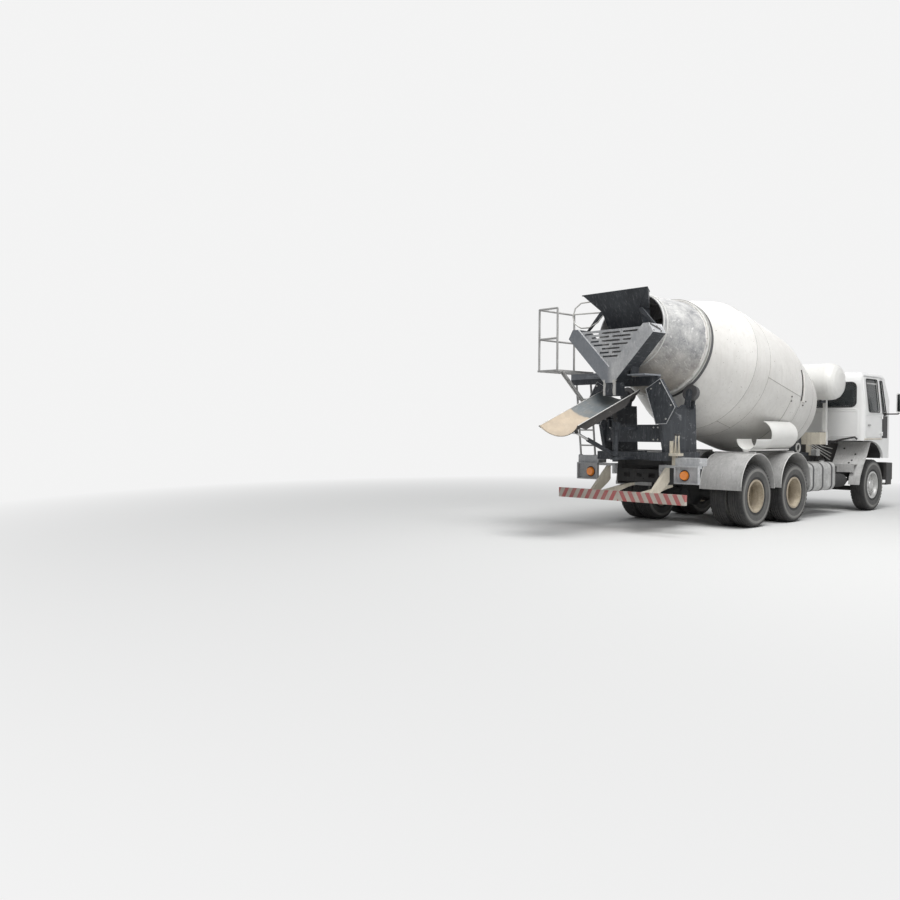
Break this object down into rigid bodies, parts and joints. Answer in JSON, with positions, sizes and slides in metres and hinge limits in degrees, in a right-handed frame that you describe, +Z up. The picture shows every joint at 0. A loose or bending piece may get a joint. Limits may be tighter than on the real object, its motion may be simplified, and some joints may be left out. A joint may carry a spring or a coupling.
{
  "type": "concrete mixer truck",
  "caption": "Three-axle truck with a forward-control cab and a tilted rotating concrete drum, a charge hopper, a discharge funnel and a chute that swings and tilts.",
  "frame": {"origin": "on the ground, on the centre line, half way along the length", "axes": "+X is forward, +Y is left, +Z is up"},
  "size_m": [9.733, 3.18, 3.8657],
  "materials": {
    "chassis_paint": "dusty satin",
    "cast_metal": "dusty",
    "tank_aluminium": "dusty, dull",
    "black_paint": "dusty satin",
    "rusty_steel": "rusty",
    "black_plastic": "scuffed",
    "dusty_grey": "cement dust over paint",
    "striped_paint": "faded diagonal stripes",
    "grey_paint": "worn",
    "amber_lens": "clear lens",
    "blue_black_paint": "scratched, cement streaks",
    "cream_paint": "worn",
    "white_paint": "worn, dusty",
    "cab_white": "satin",
    "tinted_glass": "dusty tinted",
    "dark_trim": "soft",
    "mirror_housing": "satin",
    "rim_steel": "dusty",
    "rim_cream": "dusty cream paint",
    "drum_paint": "off-white, streaked",
    "ring_steel": "rolled bright",
    "concrete_coated": "coated with dried concrete",
    "rod_chrome": "worn chrome",
    "tyre_rubber": "dusty"
  },
  "bodies": {
    "chassis": {"frame_rails": "chassis_paint", "subframe": "chassis_paint", "front_axle": "chassis_paint", "tandem_axles": "chassis_paint", "drive_line": "chassis_paint", "engine_block": "cast_metal", "fuel_tank": "tank_aluminium", "air_tanks": "black_paint", "battery_box": "black_paint", "exhaust": "rusty_steel", "front_bumper": "black_plastic", "front_mudguards": "dusty_grey", "rear_fenders": "dusty_grey", "underrun_bar": "striped_paint", "tail_lamps": "grey_paint", "lamp_lenses": "amber_lens", "front_pedestal": "blue_black_paint", "drum_gearbox": "blue_black_paint", "rear_pedestal": "blue_black_paint", "charge_hopper": "blue_black_paint", "discharge_funnel": "dusty_grey", "platform": "grey_paint", "lever_box": "cream_paint", "water_tank": "white_paint", "spare_chutes": "white_paint"},
    "cab": {"cab_shell": "cab_white", "cab_glass": "tinted_glass", "cab_interior": "dark_trim", "mirrors": "mirror_housing"},
    "door_left": {"door_left": "cab_white", "door_glass_left": "tinted_glass"},
    "door_right": {"door_right": "cab_white", "door_glass_right": "tinted_glass"},
    "knuckle_left": {"knuckle_left": "chassis_paint"},
    "knuckle_right": {"knuckle_right": "chassis_paint"},
    "wheel_front_left": {"tyre_front_left": "tyre_rubber", "rim_front_left": "rim_steel"},
    "wheel_front_right": {"tyre_front_right": "tyre_rubber", "rim_front_right": "rim_steel"},
    "wheel_mid_left": {"tyre_mid_left": "tyre_rubber", "rim_mid_left": "rim_cream"},
    "wheel_mid_right": {"tyre_mid_right": "tyre_rubber", "rim_mid_right": "rim_cream"},
    "wheel_rear_left": {"tyre_rear_left": "tyre_rubber", "rim_rear_left": "rim_cream"},
    "wheel_rear_right": {"tyre_rear_right": "tyre_rubber", "rim_rear_right": "rim_cream"},
    "drum": {"drum_shell": "drum_paint", "drum_ring": "ring_steel"},
    "roller_left": {"roller_left": "ring_steel"},
    "roller_right": {"roller_right": "ring_steel"},
    "chute_swivel": {"chute_swivel": "blue_black_paint"},
    "chute": {"chute": "concrete_coated"},
    "strut_barrel": {"strut_barrel": "blue_black_paint"},
    "strut_rod": {"strut_rod": "rod_chrome"}
  },
  "joints": [
    {"name": "cab_tilt", "type": "hinge", "parent": "chassis", "child": "cab", "pos_m": [4.50651, 0, 1.05], "axis": [0, 1, 0], "range_deg": [0, 45]},
    {"name": "door_left_hinge", "type": "hinge", "parent": "cab", "child": "door_left", "pos_m": [3.94651, 1.217, 1.7], "axis": [0, 0, -1], "range_deg": [0, 70]},
    {"name": "door_right_hinge", "type": "hinge", "parent": "cab", "child": "door_right", "pos_m": [3.94651, -1.217, 1.7], "axis": [0, 0, 1], "range_deg": [0, 70]},
    {"name": "steer_left", "type": "hinge", "parent": "chassis", "child": "knuckle_left", "pos_m": [3.64651, 0.88, 0.52], "axis": [0, 0, 1], "range_deg": [-35, 35]},
    {"name": "steer_right", "type": "hinge", "parent": "chassis", "child": "knuckle_right", "pos_m": [3.64651, -0.88, 0.52], "axis": [0, 0, 1], "range_deg": [-35, 35]},
    {"name": "front_left_spin", "type": "hinge", "parent": "knuckle_left", "child": "wheel_front_left", "pos_m": [3.64651, 1.05, 0.52], "axis": [0, 1, 0], "continuous": true},
    {"name": "front_right_spin", "type": "hinge", "parent": "knuckle_right", "child": "wheel_front_right", "pos_m": [3.64651, -1.05, 0.52], "axis": [0, 1, 0], "continuous": true},
    {"name": "mid_left_spin", "type": "hinge", "parent": "chassis", "child": "wheel_mid_left", "pos_m": [0.14651, 1.05, 0.52], "axis": [0, 1, 0], "continuous": true},
    {"name": "mid_right_spin", "type": "hinge", "parent": "chassis", "child": "wheel_mid_right", "pos_m": [0.14651, -1.05, 0.52], "axis": [0, 1, 0], "continuous": true},
    {"name": "rear_left_spin", "type": "hinge", "parent": "chassis", "child": "wheel_rear_left", "pos_m": [-1.21349, 1.05, 0.52], "axis": [0, 1, 0], "continuous": true},
    {"name": "rear_right_spin", "type": "hinge", "parent": "chassis", "child": "wheel_rear_right", "pos_m": [-1.21349, -1.05, 0.52], "axis": [0, 1, 0], "continuous": true},
    {"name": "drum_spin", "type": "hinge", "parent": "chassis", "child": "drum", "pos_m": [-1.15775, 0, 2.72611], "axis": [0.9724, 0, -0.2334], "continuous": true},
    {"name": "roller_left_spin", "type": "hinge", "parent": "chassis", "child": "roller_left", "pos_m": [-2.29284, 0.60969, 2.19608], "axis": [0.9724, 0, -0.2334], "continuous": true},
    {"name": "roller_right_spin", "type": "hinge", "parent": "chassis", "child": "roller_right", "pos_m": [-2.29284, -0.60969, 2.19608], "axis": [0.9724, 0, -0.2334], "continuous": true},
    {"name": "chute_swing", "type": "hinge", "parent": "chassis", "child": "chute_swivel", "pos_m": [-3.47349, 0, 1.4], "axis": [0, 0, 1], "range_deg": [-60, 60]},
    {"name": "chute_tilt", "type": "hinge", "parent": "chute_swivel", "child": "chute", "pos_m": [-3.57349, 0, 1.765], "axis": [0, 1, 0], "range_deg": [-10, 8]},
    {"name": "strut_swing", "type": "hinge", "parent": "chute_swivel", "child": "strut_barrel", "pos_m": [-3.57349, 0, 1.23], "axis": [0, 1, 0], "range_deg": [-8.7, 7.06]},
    {"name": "strut_slide", "type": "slide", "parent": "strut_barrel", "child": "strut_rod", "axis": [-0.9392, 0, 0.3433], "range_m": [-0.0902, 0.0726]}
  ],
  "couplings": [
    {"joint": "steer_right", "follows": "steer_left", "ratio": 1},
    {"joint": "roller_left_spin", "follows": "drum_spin", "ratio": -6.6154},
    {"joint": "roller_right_spin", "follows": "drum_spin", "ratio": -6.6154},
    {"joint": "strut_swing", "follows": "chute_tilt", "ratio": 0.81971},
    {"joint": "strut_slide", "follows": "chute_tilt", "m_per_rad": 0.5055}
  ]
}
